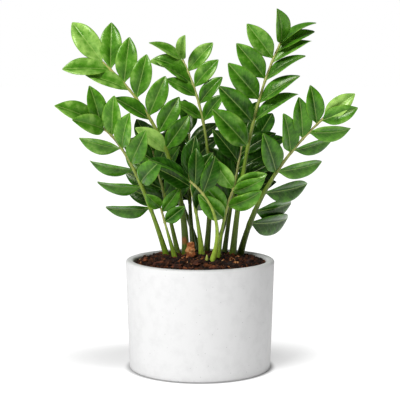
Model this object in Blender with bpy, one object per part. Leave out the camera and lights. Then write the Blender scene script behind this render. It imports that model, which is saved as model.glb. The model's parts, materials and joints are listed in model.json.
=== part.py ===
"""Potted ZZ plant: a round cast pot, heaped soil with bark chips, four rhizomes, and fourteen fronds.

Metres, +Z up. The origin is the centre of the pot's underside. The plant's front is towards -Y.
Each frond is a bare stalk and a leafy top, which meet end to end. The stalk stands in a socket in the
soil, on the crown of the rhizome that it grows from.
"""

import math
from collections import namedtuple

import bmesh
import bpy
from mathutils import Vector
from mathutils.bvhtree import BVHTree

MM = 0.001
GAP = 0.3 * MM  # between any two pieces that touch

# Pot
POT_RIM_RADIUS = 110 * MM
POT_BASE_RADIUS = 104.5 * MM
POT_HEIGHT = 161 * MM
POT_WALL = 12 * MM
POT_FLOOR = 14 * MM
RIM_ROUND = 4 * MM
BASE_ROUND = 2.5 * MM
POT_SIDES = 48

# Soil
SOIL_DROP = 6 * MM  # from the rim down to the soil's edge
SOIL_HEAP = 11 * MM  # from the soil's edge up to its crown
SOIL_RINGS = 5

# Rhizomes
CROWN_DROP = 8 * MM  # from the rim down to the flat crowns that the stalks stand on
RHIZOME_DEPTH = 20 * MM
RHIZOME_CUT = 0.35  # where the crown cuts the tuber, as a share of its half height

# Stalks
STALK_SIDES = 8
STALK_RINGS = 6
STALK_TAPER = 1.6
TWIG_RADIUS = 1.2 * MM  # at the far end of the leafy part
BARE_BELOW_LEAVES = 0.03  # bare stretch under the lowest leaflet, as a share of the frond

# Leaflets
RACHIS_SIDES = 6
RACHIS_RINGS = 9
BLADE_WIDTH = 0.48  # widest part, as a share of the length
BLADE_THICKNESS = 1.6 * MM
BLADE_FOLD = 0.22  # how far the edges stand above the midrib, as a share of the half width
BLADE_ARCH = 0.04  # how far the middle stands above the chord, as a share of the length
NECK_WIDTH = 2.0 * MM
LEAFLET_CLEARANCE = 0.8 * MM
VIEW_RISE = 35  # degrees that a frond's upper side looks up
TURN_STEP = 6  # degrees that a crowded leaflet turns at a time
TURN_MOST = 48
CROWDED_LENGTHS = (1.0, 0.85, 0.7, 0.55)  # shares of its length that a crowded leaflet tries

# Bark chips
CHIP_THICKNESS = 5 * MM

POT_INNER_RIM = POT_RIM_RADIUS - POT_WALL
POT_INNER_FLOOR = POT_BASE_RADIUS - POT_WALL
CROWN_HEIGHT = POT_HEIGHT - CROWN_DROP

# One frond. foot is a share of the soil's radius. knee and tip are millimetres from the foot, and the
# frond follows the quadratic Bezier through them. face turns its upper side from the front (0) to the
# right (+) or left (-), and vee lifts its leaflets. left and right say where the leaflets of each side
# sit along the frond. Splay, twist and length run from the lowest leaflet to the highest.
# end is the side, splay, length, nod and twist of the leaflet that ends the frond. Nod tips it towards
# its upper side.
Frond = namedtuple(
    "Frond",
    "name foot knee tip thick face vee left right left_splay right_splay twist length end colour",
)

FRONDS = (
    Frond(
        name="upper_left", foot=(-0.22, 0.16), knee=(-1, 2, 178), tip=(-123, 22, 285), thick=5.6,
        face=-9, vee=14, left=(0.48, 0.65, 0.82, 0.95), right=(0.50, 0.58, 0.67, 0.77, 0.86, 0.95),
        left_splay=(29, 35), right_splay=(60, 45), twist=(-21, 2), length=(60, 72),
        end=(1, 10, 76, 0, 0), colour="dark",
    ),
    Frond(
        name="low_left", foot=(-0.51, 0.18), knee=(-49, -30, 170), tip=(-94, -50, 196), thick=4.4,
        face=-38, vee=15, left=(0.35, 0.50, 0.63, 0.79, 0.96), right=(0.53, 0.67, 0.79, 0.90, 0.99),
        left_splay=(76, 28), right_splay=(72, 33), twist=(30, -6), length=(68, 61),
        end=(-1, 3, 74, 0, 0), colour="dark",
    ),
    Frond(
        name="upper_right", foot=(0.50, 0.22), knee=(20, 6, 217), tip=(72, 40, 316), thick=5.0,
        face=11, vee=25, left=(0.50, 0.61, 0.72, 0.82, 0.92), right=(0.62, 0.70, 0.81, 0.90, 0.955, 0.99),
        left_splay=(59, 68), right_splay=(49, 36), twist=(7, -34), length=(82, 63),
        end=(-1, 58, 64, 40, 0), colour="dark",
    ),
    Frond(
        name="centre", foot=(0.10, 0.59), knee=(20, 4, 182), tip=(-37, 54, 293), thick=4.6,
        face=-3, vee=27, left=(0.67, 0.79, 0.86, 0.92, 0.96, 0.99), right=(0.66, 0.75, 0.84, 0.93),
        left_splay=(55, 44), right_splay=(52, 74), twist=(-13, -4), length=(52, 60),
        end=(1, 62, 50, 48, 0), colour="dark",
    ),
    Frond(
        name="low_right", foot=(0.62, 0.43), knee=(26, -30, 122), tip=(118, -60, 210), thick=5.2,
        face=48, vee=0, left=(0.57, 0.72, 0.83, 0.95), right=(0.22, 0.30, 0.43, 0.58, 0.74, 0.88, 0.98),
        left_splay=(57, 42), right_splay=(87, 22), twist=(-13, 8), length=(88, 56),
        end=(1, 2, 57, 0, 0), colour="dark",
    ),
    Frond(
        name="front_young", foot=(0.28, -0.12), knee=(5, -10, 65), tip=(22, -24, 106), thick=3.6,
        face=18, vee=8, left=(0.54, 0.67, 0.97), right=(0.72, 0.92),
        left_splay=(56, 52), right_splay=(52, 41), twist=(-5, 27), length=(62, 56),
        end=(1, 40, 52, 0, 0), colour="bright",
    ),
    Frond(
        name="front_left", foot=(0.19, -0.33), knee=(22, -16, 72), tip=(-33, -30, 118), thick=4.2,
        face=-15, vee=8, left=(), right=(0.80, 0.93),
        left_splay=(62, 50), right_splay=(58, 45), twist=(0, 0), length=(56, 50),
        end=(-1, 10, 68, 0, -40), colour="bright",
    ),
    Frond(
        name="small_left", foot=(-0.38, -0.06), knee=(-14, -6, 50), tip=(-20, -8, 74), thick=4.0,
        face=-20, vee=18, left=(), right=(0.72, 0.92),
        left_splay=(70, 50), right_splay=(66, 45), twist=(10, 0), length=(44, 44),
        end=(-1, 30, 42, 35, 0), colour="bright",
    ),
    Frond(
        name="inner_left", foot=(0.03, 0.04), knee=(-6, -8, 62), tip=(-20, -6, 118), thick=4.6,
        face=0, vee=20, left=(0.86,), right=(0.56, 0.70, 0.85),
        left_splay=(60, 44), right_splay=(46, 36), twist=(0, 0), length=(62, 62),
        end=(1, 24, 60, 0, 0), colour="dark",
    ),
    Frond(
        name="outer_left", foot=(-0.34, 0.45), knee=(-18, 14, 80), tip=(-40, 48, 152), thick=4.0,
        face=-25, vee=16, left=(0.48, 0.62, 0.76, 0.90), right=(0.44, 0.56, 0.70, 0.84),
        left_splay=(54, 38), right_splay=(60, 44), twist=(12, 0), length=(66, 60),
        end=(-1, 8, 60, 0, 0), colour="dark",
    ),
    Frond(
        name="inner_right", foot=(0.38, 0.59), knee=(12, 8, 94), tip=(30, 38, 175), thick=4.2,
        face=5, vee=16, left=(0.42, 0.53, 0.65, 0.78, 0.91), right=(0.47, 0.60, 0.72, 0.85),
        left_splay=(62, 46), right_splay=(58, 46), twist=(0, -8), length=(68, 62),
        end=(1, 8, 62, 0, 0), colour="dark",
    ),
    Frond(
        name="back_centre", foot=(-0.10, 0.59), knee=(-9, 27, 79), tip=(-7, 82, 177), thick=4.4,
        face=-8, vee=16, left=(0.43, 0.54, 0.66, 0.78, 0.91), right=(0.48, 0.60, 0.72, 0.85),
        left_splay=(62, 46), right_splay=(62, 46), twist=(0, 0), length=(68, 62),
        end=(-1, 6, 62, 0, 0), colour="dark",
    ),
    Frond(
        name="back_left", foot=(0.00, 0.80), knee=(-29, 42, 84), tip=(-68, 87, 154), thick=4.2,
        face=-20, vee=16, left=(0.44, 0.56, 0.69, 0.81, 0.94), right=(0.50, 0.63, 0.75, 0.88),
        left_splay=(54, 40), right_splay=(60, 44), twist=(0, 0), length=(68, 60),
        end=(-1, 6, 60, 0, 0), colour="dark",
    ),
    Frond(
        name="back_right", foot=(0.24, 0.76), knee=(32, 46, 99), tip=(66, 86, 166), thick=4.2,
        face=12, vee=16, left=(0.44, 0.56, 0.69, 0.81, 0.94), right=(0.50, 0.63, 0.75, 0.88),
        left_splay=(60, 44), right_splay=(54, 40), twist=(0, 0), length=(70, 60),
        end=(1, 6, 60, 0, 0), colour="dark",
    ),
)

# Centre and half widths of each tuber, as shares of the soil's radius
RHIZOMES = {
    "left": (-0.39, 0.16, 0.31, 0.35),
    "front": (0.15, -0.14, 0.26, 0.31),
    "back": (0.06, 0.67, 0.27, 0.21),
    "right": (0.51, 0.40, 0.23, 0.28),
}

# A chip's place as a share of the soil's radius, then its length and width in millimetres and its turn
CHIPS = {
    "front_1": (-0.62, -0.48, 21, 11, 30),
    "front_2": (-0.34, -0.72, 18, 10, -20),
    "front_3": (-0.04, -0.60, 20, 12, 65),
    "front_4": (0.20, -0.80, 17, 9, 10),
    "front_5": (0.46, -0.60, 22, 11, -35),
    "front_6": (0.74, -0.28, 18, 10, 50),
    "side_1": (-0.82, -0.06, 17, 9, 80),
    "side_2": (0.80, 0.16, 16, 9, -60),
    "back_1": (-0.62, 0.58, 19, 10, -25),
    "back_2": (0.56, 0.68, 17, 9, 20),
}
STANDING_CHIP = (-0.14, -0.20, 15, 8, 24)  # place, then its width, depth and height in millimetres
SHOOT = (0.10, -0.42, 2.6, 11)  # place, then its radius and height in millimetres

BLADE_STATIONS = ((0.0, 0.0), (0.06, 0.1), (0.22, 0.8), (0.48, 1.0), (0.78, 0.7))


def clear_scene():
    for item in list(bpy.data.objects):
        bpy.data.objects.remove(item, do_unlink=True)


def material(name, colour, roughness, metallic=0.0):
    made = bpy.data.materials.new(name)
    made.use_nodes = True
    shader = made.node_tree.nodes["Principled BSDF"]
    shader.inputs["Base Color"].default_value = (*colour, 1.0)
    shader.inputs["Roughness"].default_value = roughness
    shader.inputs["Metallic"].default_value = metallic
    made.diffuse_color = (*colour, 1.0)
    return made


def add_object(name, bm, finish, smooth_angle=None):
    bmesh.ops.recalc_face_normals(bm, faces=bm.faces)
    mesh = bpy.data.meshes.new(name)
    bm.to_mesh(mesh)
    bm.free()
    if smooth_angle is not None:
        mesh.shade_smooth()
        mesh.set_sharp_from_angle(angle=math.radians(smooth_angle))
    if finish:
        mesh.materials.append(finish)
    made = bpy.data.objects.new(name, mesh)
    bpy.context.scene.collection.objects.link(made)
    return made


def as_cutter(item):
    item.hide_render = True
    item.display_type = "WIRE"
    return item


def add_boolean(item, cutter, operation, crossing=False):
    modifier = item.modifiers.new(operation.title(), "BOOLEAN")
    modifier.operation = operation
    modifier.solver = "EXACT"
    modifier.use_self = crossing
    modifier.object = cutter


def loft(bm, rings, closed_tip=None):
    """Skin a row of rings. The first is capped, and so is the last unless a tip point closes it."""
    rows = [[bm.verts.new(point) for point in ring] for ring in rings]
    count = len(rows[0])
    for low, high in zip(rows, rows[1:]):
        for i in range(count):
            j = (i + 1) % count
            bm.faces.new((low[i], low[j], high[j], high[i]))
    bm.faces.new(list(reversed(rows[0])))
    if closed_tip is None:
        bm.faces.new(rows[-1])
        return
    tip = bm.verts.new(closed_tip)
    for i in range(count):
        bm.faces.new((rows[-1][i], rows[-1][(i + 1) % count], tip))


def turned(name, profile, finish, steps, smooth_angle=35):
    """Turn a profile round Z. It runs from the axis outwards, down the outer side and back."""
    bm = bmesh.new()
    points = [bm.verts.new((radius, 0.0, height)) for radius, height in profile]
    for first, second in zip(points, points[1:]):
        bm.edges.new((first, second))
    item = add_object(name, bm, finish, smooth_angle)
    screw = item.modifiers.new("Turn", "SCREW")
    screw.axis = "Z"
    screw.angle = 2 * math.pi
    screw.steps = steps
    screw.render_steps = steps
    screw.use_merge_vertices = True
    screw.merge_threshold = 0.0001
    return item


def inner_radius(height):
    """Radius of the pot's inner wall at a height."""
    return POT_INNER_FLOOR + (POT_INNER_RIM - POT_INNER_FLOOR) * height / POT_HEIGHT


def soil_radius():
    return inner_radius(POT_HEIGHT - SOIL_DROP) - GAP


def soil_height(x, y):
    share = min(math.hypot(x, y) / soil_radius(), 1.0)
    return POT_HEIGHT - SOIL_DROP + SOIL_HEAP * math.cos(share * math.pi / 2)


def build_pot(finish):
    slope = (POT_RIM_RADIUS - POT_BASE_RADIUS) / POT_HEIGHT
    profile = [(0.0, POT_FLOOR), (inner_radius(POT_FLOOR), POT_FLOOR)]
    for step in range(4):  # over the inner edge of the rim
        angle = math.pi - step * math.pi / 6
        profile.append(
            (
                POT_INNER_RIM + RIM_ROUND * (1 + math.cos(angle)),
                POT_HEIGHT - RIM_ROUND * (1 - math.sin(angle)),
            )
        )
    for step in range(4):  # over its outer edge
        angle = math.pi / 2 - step * math.pi / 6
        profile.append(
            (
                POT_RIM_RADIUS - RIM_ROUND * (1 - math.cos(angle)),
                POT_HEIGHT - RIM_ROUND * (1 - math.sin(angle)),
            )
        )
    profile.append((POT_BASE_RADIUS + slope * BASE_ROUND, BASE_ROUND))
    profile.append((POT_BASE_RADIUS - BASE_ROUND, 0.0))
    profile.append((0.0, 0.0))
    return turned("pot", profile, finish, POT_SIDES)


def rhizome_mesh(bm, place, grow):
    """A tuber cut flat at its crown, grown on every side by grow."""
    x, y, wide, deep = (share * soil_radius() for share in place)
    middle = CROWN_HEIGHT - RHIZOME_CUT * RHIZOME_DEPTH
    made = bmesh.ops.create_uvsphere(bm, u_segments=14, v_segments=8, radius=1.0)
    for vert in made["verts"]:
        lump = 1.0 + 0.05 * math.sin(3 * math.atan2(vert.co.y, vert.co.x) + x / MM)
        vert.co = Vector(
            (
                x + vert.co.x * (wide * lump + grow),
                y + vert.co.y * (deep * lump + grow),
                middle + vert.co.z * (RHIZOME_DEPTH + grow),
            )
        )
    geometry = [item for vert in made["verts"] for item in (vert, *vert.link_edges, *vert.link_faces)]
    cut = bmesh.ops.bisect_plane(
        bm,
        geom=list(dict.fromkeys(geometry)),
        plane_co=(0, 0, CROWN_HEIGHT + grow),
        plane_no=(0, 0, 1),
        clear_outer=True,
    )
    edges = [item for item in cut["geom_cut"] if isinstance(item, bmesh.types.BMEdge)]
    bmesh.ops.contextual_create(bm, geom=edges)


def build_rhizomes(finish):
    for name, place in RHIZOMES.items():
        bm = bmesh.new()
        rhizome_mesh(bm, place, 0.0)
        add_object("rhizome_" + name, bm, finish, 50)


class Curve:
    """A frond's middle line, from the soil to its tip, read by the share of its length."""

    def __init__(self, frond):
        x, y = (share * soil_radius() for share in frond.foot)
        self.foot = Vector((x, y, soil_height(x, y)))
        self.knee = self.foot + Vector(frond.knee) * MM
        self.tip = self.foot + Vector(frond.tip) * MM
        self.thick = frond.thick * MM
        steps = [self.bezier(i / 64) for i in range(65)]
        self.lengths = [0.0]
        for low, high in zip(steps, steps[1:]):
            self.lengths.append(self.lengths[-1] + (high - low).length)

    def bezier(self, t):
        return self.foot * (1 - t) ** 2 + self.knee * 2 * t * (1 - t) + self.tip * t**2

    def parameter(self, share):
        wanted = share * self.lengths[-1]
        for i, (low, high) in enumerate(zip(self.lengths, self.lengths[1:])):
            if wanted <= high:
                return (i + (wanted - low) / (high - low)) / 64
        return 1.0

    def point(self, share):
        return self.bezier(self.parameter(share))

    def tangent(self, share):
        t = self.parameter(share)
        return ((self.knee - self.foot) * (1 - t) + (self.tip - self.knee) * t).normalized()

    def radius(self, share):
        return TWIG_RADIUS + (self.thick - TWIG_RADIUS) * (1 - share) ** STALK_TAPER

    def ring(self, share, sides, grow=0.0, slide=0.0):
        along = self.tangent(share)
        across = along.cross(Vector((0, 1, 0))).normalized()
        beside = across.cross(along)
        middle = self.point(share) + along * slide
        size = self.radius(share) + grow
        angles = [2 * math.pi * i / sides for i in range(sides)]
        return [middle + (across * math.cos(a) + beside * math.sin(a)) * size for a in angles]


def leafy_from(frond):
    return min(frond.left + frond.right) - BARE_BELOW_LEAVES


def root_ring(curve, height, grow):
    """The flat lower end of a stalk, straight below its ring in the soil's surface."""
    return [
        Vector((point.x, point.y, height)) for point in curve.ring(0.0, STALK_SIDES, grow)
    ]


def stalk_rings(frond, curve):
    top = leafy_from(frond)
    rings = [root_ring(curve, CROWN_HEIGHT + GAP, 0.0)]
    for i in range(STALK_RINGS):
        rings.append(curve.ring(top * i / (STALK_RINGS - 1), STALK_SIDES))
    return rings


def rachis_rings(frond, curve):
    low = leafy_from(frond)
    rings = [curve.ring(low, RACHIS_SIDES, slide=GAP)]
    for i in range(1, RACHIS_RINGS):
        rings.append(curve.ring(low + (1 - low) * i / (RACHIS_RINGS - 1), RACHIS_SIDES))
    return rings


def blade(base, along, normal, length, grow=0.0, first=0):
    """Rings and tip of one leaflet, from the given station on."""
    across = normal.cross(along)
    half = BLADE_WIDTH * length / 2
    rings = []
    for share, width in BLADE_STATIONS[first:]:
        middle = base + along * (length * share)
        middle += normal * (BLADE_ARCH * length * 4 * share * (1 - share))
        side = max(half * width, NECK_WIDTH / 2) + grow
        lift = BLADE_FOLD * half * width
        thick = BLADE_THICKNESS / 2 + grow
        rings.append(
            (
                middle - across * side + normal * lift,
                middle - normal * thick,
                middle + across * side + normal * lift,
                middle + normal * thick,
            )
        )
    return rings, base + along * (length + grow)


def blade_faces(rings, tip):
    """Points and faces of a leaflet, for a clearance test."""
    points = [point for ring in rings for point in ring] + [tip]
    faces = []
    for row in range(len(rings) - 1):
        for i in range(4):
            j = (i + 1) % 4
            faces.append((row * 4 + i, row * 4 + j, row * 4 + 4 + j, row * 4 + 4 + i))
    last = len(rings) * 4 - 4
    faces += [(last + i, last + (i + 1) % 4, last + 4) for i in range(4)]
    return points, faces


def leaflet_slots(frond):
    """Every leaflet of a frond, from its tip down: place, side, splay, twist, length and nod."""
    side, splay, length, nod, twist = frond.end
    slots = [(1.0, side, splay, twist, length, nod)]
    lowest = min(frond.left + frond.right)
    for side, places in ((-1, frond.left), (1, frond.right)):
        splays = frond.left_splay if side < 0 else frond.right_splay
        twist = frond.twist[0 if side < 0 else 1]
        for place in places:
            share = (place - lowest) / (1 - lowest)
            splay = splays[0] + (splays[1] - splays[0]) * share
            length = frond.length[0] + (frond.length[1] - frond.length[0]) * share
            slots.append((place, side, splay, twist, length, 0.0))
    return sorted(slots, key=lambda slot: -slot[0])


def leaflet_pose(frond, curve, slot, swing, lift, shorten):
    """Base, direction, upper side and length of a leaflet, turned by swing and lift degrees."""
    place, side, splay, twist, length, nod = slot
    along = curve.tangent(place)
    face, rise = math.radians(frond.face), math.radians(VIEW_RISE)
    view = Vector((math.sin(face) * math.cos(rise), -math.cos(face) * math.cos(rise), math.sin(rise)))
    upper = (view - along * view.dot(along)).normalized()
    right = along.cross(upper)
    vee = math.radians(frond.vee + lift)
    splay = math.radians(splay + swing)
    out = right * (side * math.cos(vee)) + upper * math.sin(vee)
    direction = along * math.cos(splay) + out * math.sin(splay)
    normal = out.cross(along) * side
    turn = math.radians(side * twist)
    normal = normal * math.cos(turn) + direction.cross(normal) * math.sin(turn)
    nod = math.radians(nod)
    nodding = direction * math.cos(nod) + normal * math.sin(nod)
    normal = normal * math.cos(nod) - direction * math.sin(nod)
    return curve.point(place), nodding, normal, length * MM * shorten


def turns():
    """Swings and lifts in degrees, the smallest first. A lift counts half, because it shows less."""
    steps = range(-TURN_MOST, TURN_MOST + 1, TURN_STEP)
    pairs = [(swing, lift) for swing in steps for lift in steps]
    return sorted(pairs, key=lambda pair: (2 * abs(pair[0]) + abs(pair[1]), pair))


def settle(frond, curve, slot, others, own):
    """Turn a leaflet, and where that isn't enough shorten it, until it is clear of its neighbours."""
    for shorten in CROWDED_LENGTHS:
        for swing, lift in turns():
            pose = leaflet_pose(frond, curve, slot, swing, lift, shorten)
            whole = BVHTree.FromPolygons(*blade_faces(*blade(*pose, LEAFLET_CLEARANCE, 1)))
            if whole.overlap(others):
                continue
            near = BVHTree.FromPolygons(*blade_faces(*blade(*pose, GAP, 1)))
            if not any(near.overlap(leaflet) for leaflet in own):
                return pose, near
    return pose, near


def mesh_shape(item):
    """An object's evaluated points and faces."""
    shown = item.evaluated_get(bpy.context.evaluated_depsgraph_get())
    mesh = shown.to_mesh()
    shape = [vert.co.copy() for vert in mesh.vertices], [tuple(face.vertices) for face in mesh.polygons]
    shown.to_mesh_clear()
    return shape


def tube_shape(rings):
    points = [point for ring in rings for point in ring]
    count = len(rings[0])
    faces = []
    for row in range(len(rings) - 1):
        for i in range(count):
            j = (i + 1) % count
            faces.append((row * count + i, row * count + j, (row + 1) * count + j, (row + 1) * count + i))
    return points, faces


def joined(shapes):
    points, faces = [], []
    for shape_points, shape_faces in shapes:
        start = len(points)
        points += shape_points
        faces += [tuple(start + i for i in face) for face in shape_faces]
    return BVHTree.FromPolygons(points, faces)


def build_fronds(fixed, finishes):
    """Stalks first, then each frond's leaflets, which keep clear of all that is already there."""
    curves = {frond.name: Curve(frond) for frond in FRONDS}
    stems = {}
    for frond in FRONDS:
        curve = curves[frond.name]
        stems[frond.name] = (stalk_rings(frond, curve), rachis_rings(frond, curve))
        bm = bmesh.new()
        loft(bm, stems[frond.name][0])
        add_object("stalk_" + frond.name, bm, finishes["stalk_" + frond.colour], 60)
    placed = []
    for frond in FRONDS:
        curve = curves[frond.name]
        others = [shape for name, shape in placed if name != frond.name]
        for name, (stalk, rachis) in stems.items():
            others.append(tube_shape(stalk))
            if name != frond.name:
                others.append(tube_shape(rachis))
        tree = joined(fixed + others)
        own = []
        bm = bmesh.new()
        for slot in leaflet_slots(frond):
            pose, outer = settle(frond, curve, slot, tree, own)
            own.append(outer)
            loft(bm, *blade(*pose))
            placed.append((frond.name, blade_faces(*blade(*pose))))
        leaflets = as_cutter(add_object("leaflets_of_" + frond.name, bm, finishes[frond.colour]))
        bm = bmesh.new()
        loft(bm, stems[frond.name][1])
        leafy = add_object("leaves_" + frond.name, bm, finishes[frond.colour], 60)
        add_boolean(leafy, leaflets, "UNION", crossing=True)
    return curves


def build_soil(finish):
    edge = POT_HEIGHT - SOIL_DROP
    low = POT_FLOOR + GAP
    profile = []
    for ring in range(SOIL_RINGS + 1):
        radius = soil_radius() * ring / SOIL_RINGS
        profile.append((radius, soil_height(radius, 0.0)))
    profile.append((inner_radius(low) - GAP, low))
    profile.append((0.0, low))
    soil = turned("soil", profile, finish, POT_SIDES)
    pockets = bmesh.new()
    for place in RHIZOMES.values():
        rhizome_mesh(pockets, place, GAP)
    add_boolean(soil, as_cutter(add_object("rhizome_pockets", pockets, None)), "DIFFERENCE")
    sockets = bmesh.new()
    for frond in FRONDS:
        curve = Curve(frond)
        above = curve.ring(0.0, STALK_SIDES, GAP, slide=SOIL_HEAP)
        loft(sockets, [root_ring(curve, CROWN_HEIGHT, GAP), curve.ring(0.0, STALK_SIDES, GAP), above])
    add_boolean(soil, as_cutter(add_object("stalk_sockets", sockets, None)), "DIFFERENCE")
    return soil


def on_soil(x, y):
    """A place on the heap, with its upward direction there."""
    x, y = x * soil_radius(), y * soil_radius()
    step = MM
    slope_x = (soil_height(x + step, y) - soil_height(x - step, y)) / (2 * step)
    slope_y = (soil_height(x, y + step) - soil_height(x, y - step)) / (2 * step)
    return Vector((x, y, soil_height(x, y))), Vector((-slope_x, -slope_y, 1.0)).normalized()


def chip_mesh(length, width, height, turn, place, up):
    """A split piece of bark: a block with a narrower, skewed top, standing on the heap."""
    side = Vector((math.cos(turn), math.sin(turn), 0.0))
    side = (side - up * side.dot(up)).normalized()
    deep = up.cross(side)
    outline = ((-0.5, -0.3), (-0.1, -0.5), (0.5, -0.35), (0.42, 0.4), (0.0, 0.5), (-0.45, 0.25))
    rings = []
    for share, taper in ((0.0, 0.85), (0.5, 1.0), (1.0, 0.62)):
        middle = place + up * (GAP + height * share) + side * (0.08 * length * share)
        rings.append([middle + side * (u * length * taper) + deep * (v * width * taper) for u, v in outline])
    bm = bmesh.new()
    loft(bm, rings)
    return bm


def build_chips(finish):
    made = []
    for name, (x, y, length, width, turn) in CHIPS.items():
        place, up = on_soil(x, y)
        bm = chip_mesh(length * MM, width * MM, CHIP_THICKNESS, math.radians(turn), place, up)
        made.append(add_object("bark_chip_" + name, bm, finish))
    x, y, wide, deep, tall = STANDING_CHIP
    place, up = on_soil(x, y)
    bm = chip_mesh(wide * MM, deep * MM, tall * MM, 0.0, place, up)
    made.append(add_object("bark_chip_standing", bm, finish))
    return made


def build_shoot(finish):
    x, y, radius, height = SHOOT
    place, up = on_soil(x, y)
    rings = []
    for share, width in ((0.0, 0.9), (0.35, 1.0), (0.75, 0.55)):
        middle = place + up * (GAP + height * MM * share)
        angles = [2 * math.pi * i / 8 for i in range(8)]
        size = radius * MM * width
        rings.append([middle + Vector((math.cos(a), math.sin(a), 0.0)) * size for a in angles])
    bm = bmesh.new()
    loft(bm, rings, closed_tip=place + up * (GAP + height * MM))
    return add_object("shoot_tip", bm, finish, 60)


def build():
    clear_scene()
    concrete = material("cast concrete", (0.80, 0.80, 0.79), 0.75)
    earth = material("potting soil", (0.045, 0.028, 0.020), 0.95)
    tuber = material("rhizome skin", (0.42, 0.30, 0.17), 0.80)
    bark = material("pine bark", (0.23, 0.10, 0.045), 0.90)
    sprout = material("shoot tip", (0.62, 0.60, 0.36), 0.55)
    finishes = {
        "dark": material("mature leaf", (0.045, 0.16, 0.025), 0.32),
        "bright": material("young leaf", (0.16, 0.38, 0.05), 0.35),
        "stalk_dark": material("mature stalk", (0.20, 0.26, 0.06), 0.45),
        "stalk_bright": material("young stalk", (0.34, 0.48, 0.12), 0.45),
    }
    pot = build_pot(concrete)
    soil = build_soil(earth)
    build_rhizomes(tuber)
    chips = build_chips(bark)
    shoot = build_shoot(sprout)
    fixed = [mesh_shape(item) for item in (pot, soil, shoot, *chips)]
    build_fronds(fixed, finishes)


build()
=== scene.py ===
import json
import math
import random

import bmesh
import bpy
import numpy as np
from mathutils import Matrix, Vector, noise
from mathutils.bvhtree import BVHTree

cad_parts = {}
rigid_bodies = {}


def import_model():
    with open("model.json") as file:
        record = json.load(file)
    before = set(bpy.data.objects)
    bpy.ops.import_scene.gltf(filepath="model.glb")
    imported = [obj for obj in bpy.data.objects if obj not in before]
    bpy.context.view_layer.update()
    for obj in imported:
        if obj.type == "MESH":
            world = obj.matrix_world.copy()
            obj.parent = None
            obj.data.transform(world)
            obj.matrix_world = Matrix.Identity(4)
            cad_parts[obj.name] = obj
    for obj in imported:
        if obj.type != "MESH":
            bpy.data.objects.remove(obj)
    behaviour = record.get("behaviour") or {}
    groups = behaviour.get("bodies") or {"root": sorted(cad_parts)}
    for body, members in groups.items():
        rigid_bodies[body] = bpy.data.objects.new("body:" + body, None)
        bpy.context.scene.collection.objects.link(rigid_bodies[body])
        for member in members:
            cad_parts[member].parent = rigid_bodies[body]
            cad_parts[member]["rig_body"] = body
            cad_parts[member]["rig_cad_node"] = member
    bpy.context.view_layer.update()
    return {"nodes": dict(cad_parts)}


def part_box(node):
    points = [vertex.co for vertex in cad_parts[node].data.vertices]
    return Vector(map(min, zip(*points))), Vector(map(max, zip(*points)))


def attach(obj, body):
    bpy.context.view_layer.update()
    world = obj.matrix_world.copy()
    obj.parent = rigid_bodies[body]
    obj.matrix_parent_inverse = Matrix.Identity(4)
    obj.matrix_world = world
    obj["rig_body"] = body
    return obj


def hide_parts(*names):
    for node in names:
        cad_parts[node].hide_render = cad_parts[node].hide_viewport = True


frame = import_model()
scene = bpy.context.scene
mm = 0.001


# small helpers for working by hand

def deselectAll():
    if bpy.context.object and bpy.context.object.mode != "OBJECT":
        bpy.ops.object.mode_set(mode="OBJECT")
    bpy.ops.object.select_all(action="DESELECT")


def makeActive(item):
    deselectAll()
    item.select_set(True)
    bpy.context.view_layer.objects.active = item


def startEdit(item, selection="DESELECT"):
    makeActive(item)
    bpy.ops.object.mode_set(mode="EDIT")
    bpy.ops.mesh.select_all(action=selection)


def endEdit():
    bpy.ops.object.mode_set(mode="OBJECT")


def pick(item, kind, test):
    # select what has all of its corners passing the test
    bpy.ops.mesh.select_mode(type=kind)
    bpy.ops.mesh.select_all(action="DESELECT")
    shape = bmesh.from_edit_mesh(item.data)
    parts = {"VERT": shape.verts, "EDGE": shape.edges, "FACE": shape.faces}[kind]
    for part in parts:
        corners = [part] if kind == "VERT" else part.verts
        part.select_set(all(test(corner.co) for corner in corners))
    shape.select_flush_mode()
    bmesh.update_edit_mesh(item.data)


def nameIt(item, name):
    item.name = name
    item.data.name = name
    return item


def settleTransform(item):
    makeActive(item)
    bpy.ops.object.transform_apply(location=True, rotation=True, scale=True)


def applyModifier(item, kind, settings):
    modifier = item.modifiers.new(kind.title(), kind)
    for name, value in settings.items():
        setattr(modifier, name, value)
    makeActive(item)
    bpy.ops.object.modifier_apply(modifier=modifier.name)


def copyOf(item):
    copy = item.copy()
    copy.data = item.data.copy()
    scene.collection.objects.link(copy)
    return copy


def joinAll(items, name):
    makeActive(items[0])
    for item in items:
        item.select_set(True)
    bpy.ops.object.join()
    return nameIt(bpy.context.object, name)


def pointsOf(item):
    points = np.empty(len(item.data.vertices) * 3, np.float32)
    item.data.vertices.foreach_get("co", points)
    return points.reshape(-1, 3).astype(float)


def setPoints(item, points):
    item.data.vertices.foreach_set("co", np.asarray(points, np.float32).ravel())
    item.data.update()


def setValue(item, name, values):
    # a number on every point, which a material can read
    layer = item.data.attributes.get(name) or item.data.attributes.new(name, "FLOAT", "POINT")
    values = np.full(len(item.data.vertices), values, np.float32) if np.isscalar(values) else values
    layer.data.foreach_set("value", np.asarray(values, np.float32))


def titled(name):
    return "".join(word.title() for word in name.split("_"))


def makeTube(name, places, radii, roundness):
    # a round tube through the places, closed at both ends
    deselectAll()
    data = bpy.data.curves.new(name, "CURVE")
    data.dimensions = "3D"
    data.bevel_depth = mm
    data.bevel_resolution = roundness
    data.use_fill_caps = True
    spline = data.splines.new("POLY")
    spline.points.add(len(places) - 1)
    for point, place, radius in zip(spline.points, places, radii):
        point.co = (*place, 1.0)
        point.radius = radius / mm
    item = bpy.data.objects.new(name, data)
    scene.collection.objects.link(item)
    makeActive(item)
    bpy.ops.object.convert(target="MESH")
    item = nameIt(bpy.context.object, name)
    bpy.ops.object.shade_smooth_by_angle(angle=math.radians(60))
    return item


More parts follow.
